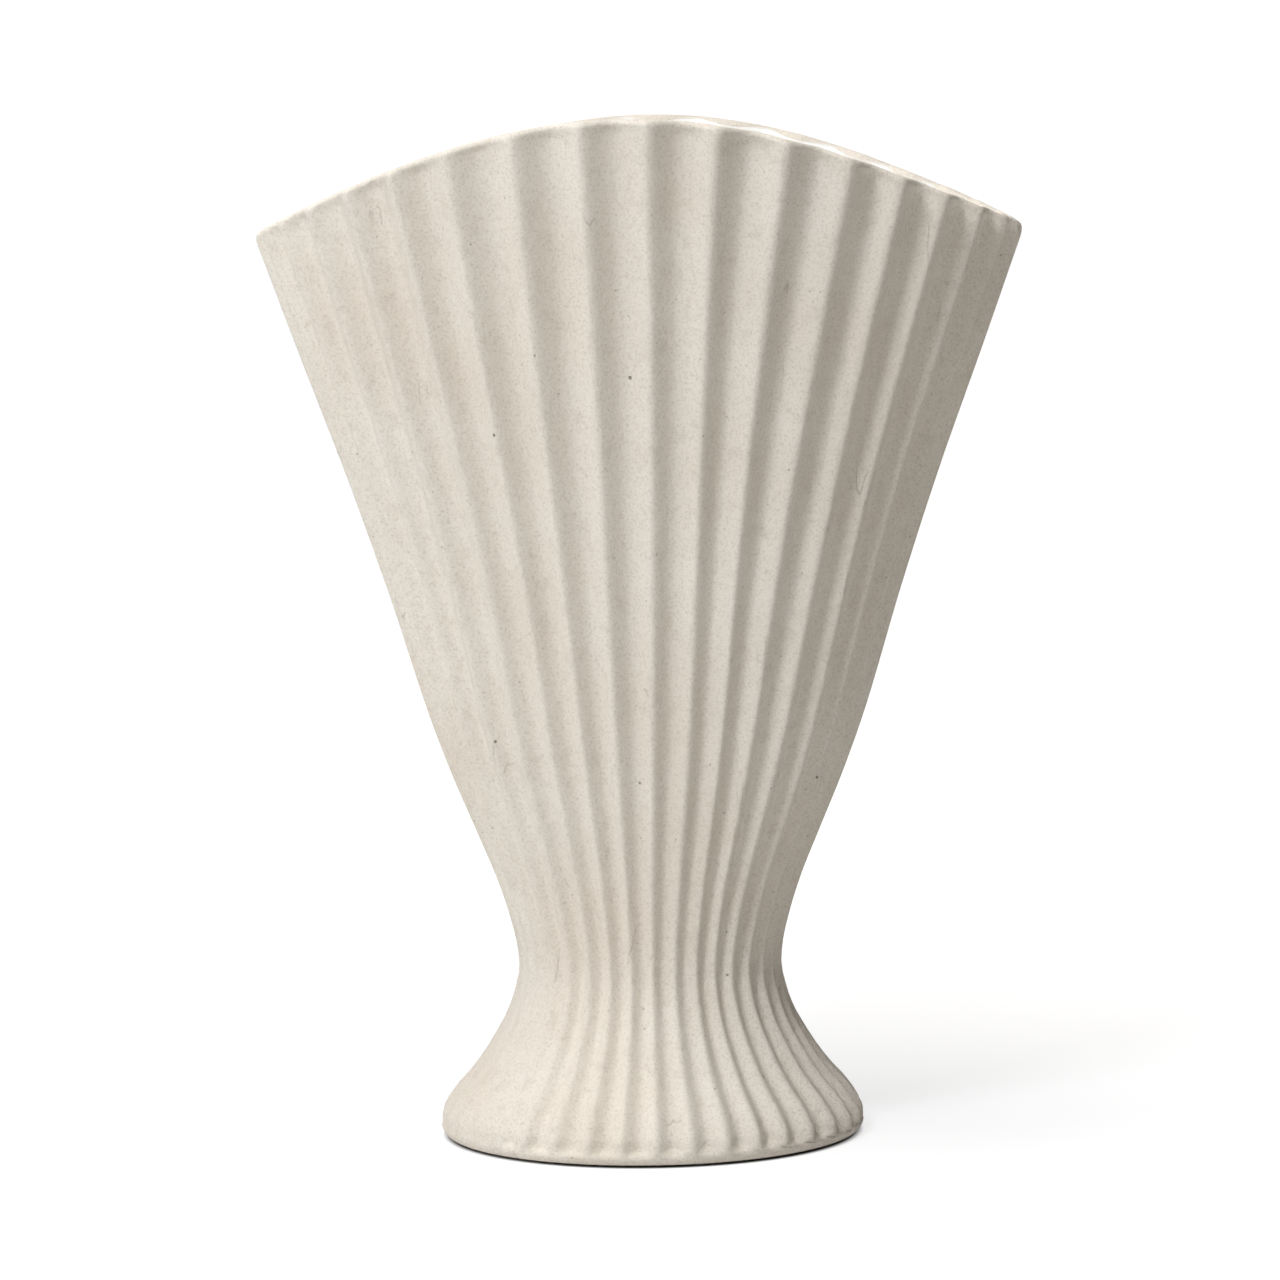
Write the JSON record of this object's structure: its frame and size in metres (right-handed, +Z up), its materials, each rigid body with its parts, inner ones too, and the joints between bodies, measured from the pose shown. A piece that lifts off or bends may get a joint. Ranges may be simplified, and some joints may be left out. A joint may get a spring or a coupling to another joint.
{
  "type": "fan vase",
  "caption": "Free-standing fluted fan vase: oval arched mouth, narrow round waist and flared round foot, glazed inside.",
  "frame": {"origin": "centre of the footprint on the surface that the vase stands on", "axes": "+Z up, +X along the width of the fan to the right, -Y to the front"},
  "size_m": [0.2666, 0.1918, 0.352],
  "materials": {
    "stoneware": "matte, fine dry grain, unglazed",
    "glaze": "gloss white glaze",
    "pads": "matte soft pad"
  },
  "bodies": {
    "root": {"stoneware_body": "stoneware", "interior_glaze": "glaze", "foot_pads": "pads"}
  },
  "joints": []
}
